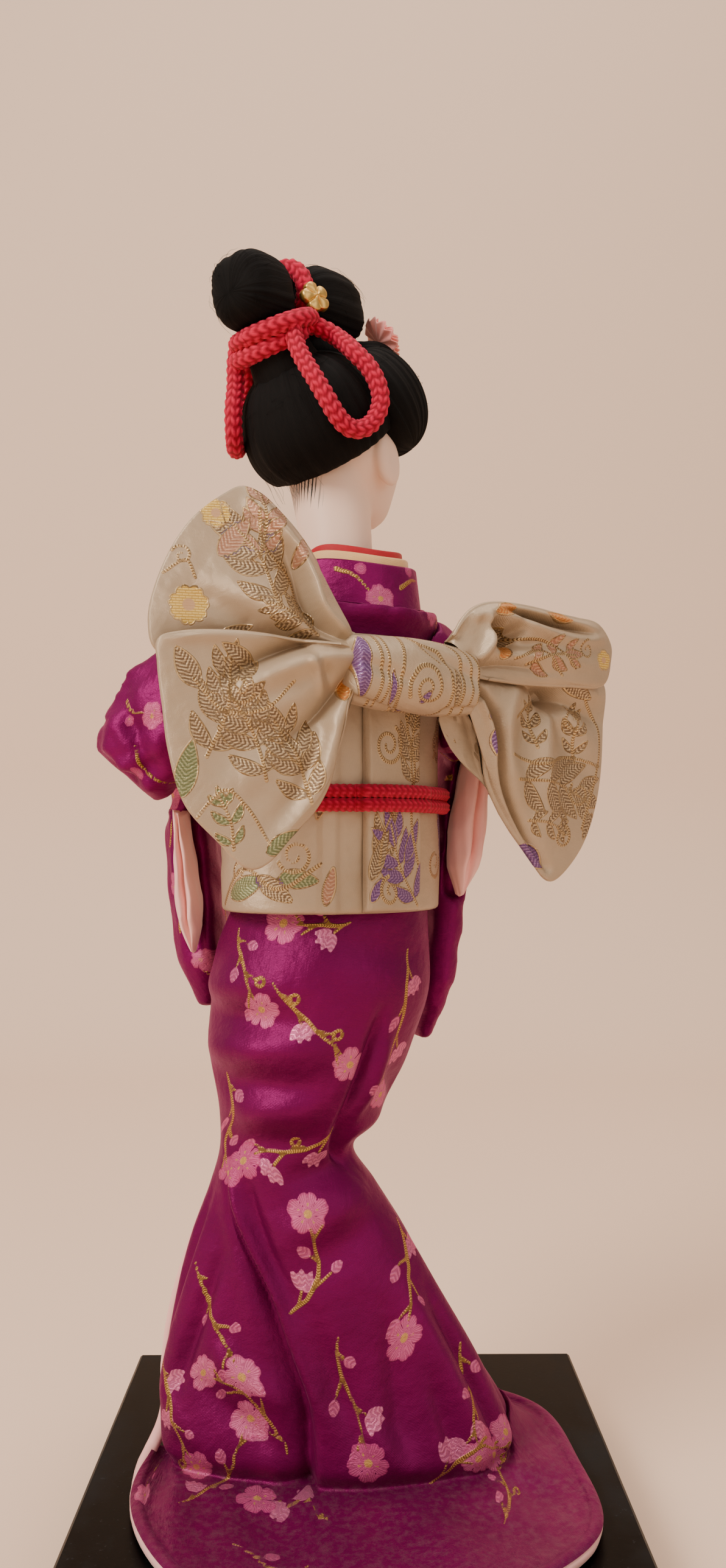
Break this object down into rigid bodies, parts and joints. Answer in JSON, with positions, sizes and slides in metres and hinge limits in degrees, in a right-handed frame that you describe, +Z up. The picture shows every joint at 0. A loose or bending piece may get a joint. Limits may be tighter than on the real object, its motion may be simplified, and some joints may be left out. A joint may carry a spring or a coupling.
{
  "type": "hakata doll",
  "caption": "Kimono doll standing on a square black plinth, turned away, with a large brocade bow, a trailing padded hem and a high black hair knot tied with red cord.",
  "frame": {"origin": "centre of the plinth's underside, under the centre of the whole object", "axes": "+Z up, -Y to the side that the picture shows (the doll's back), +X to the doll's right hand"},
  "size_m": [0.13, 0.13, 0.3215],
  "materials": {
    "plinth": "black lacquered board, satin, with a grey bloom of dust",
    "skin": "warm white doll face paint over a moulding, satin",
    "obi_brocade": "cream satin brocade with gold, purple and green metallic thread",
    "kimono_brocade": "magenta satin brocade with pink plum blossom and gold branches",
    "pink_lining": "plain pale pink lining crepe, soft",
    "red_cloth": "plain red collar cloth, folded over card",
    "cream_cloth": "plain cream and gold collar cloth, folded over card",
    "red_cord": "knitted red cord, matt",
    "hair": "black combed silk fibre, dull",
    "gold_flower": "stamped gold-coloured metal flower, satin",
    "pink_flower": "pleated pink cloth flower"
  },
  "bodies": {
    "root": {"plinth": "plinth", "head": "skin", "hand_left": "skin", "hand_right": "skin", "obi_band": "obi_brocade", "obi_drop": "obi_brocade", "obi_knot": "obi_brocade", "bow_upper_left": "obi_brocade", "bow_lower_left": "obi_brocade", "bow_upper_right": "obi_brocade", "bow_lower_right": "obi_brocade", "collar_red": "red_cloth", "collar_cream": "cream_cloth", "collar_outer": "kimono_brocade", "kimono_bodice": "kimono_brocade", "sleeve_left": "kimono_brocade", "sleeve_right": "kimono_brocade", "kimono_skirt": "kimono_brocade", "sleeve_lining_left": "pink_lining", "sleeve_lining_right": "pink_lining", "under_kimono": "pink_lining", "hem_padding": "pink_lining", "obijime": "red_cord", "hair_cord_ring": "red_cord", "hair_cord_band": "red_cord", "hair_cord_loop_left": "red_cord", "hair_cord_loop_right": "red_cord", "hair_back": "hair", "hair_wing_left": "hair", "hair_wing_right": "hair", "hair_front": "hair", "hair_bun_rear": "hair", "hair_bun_front": "hair", "gold_flower_left": "gold_flower", "gold_flower_right": "gold_flower", "pink_flower": "pink_flower"}
  },
  "joints": []
}
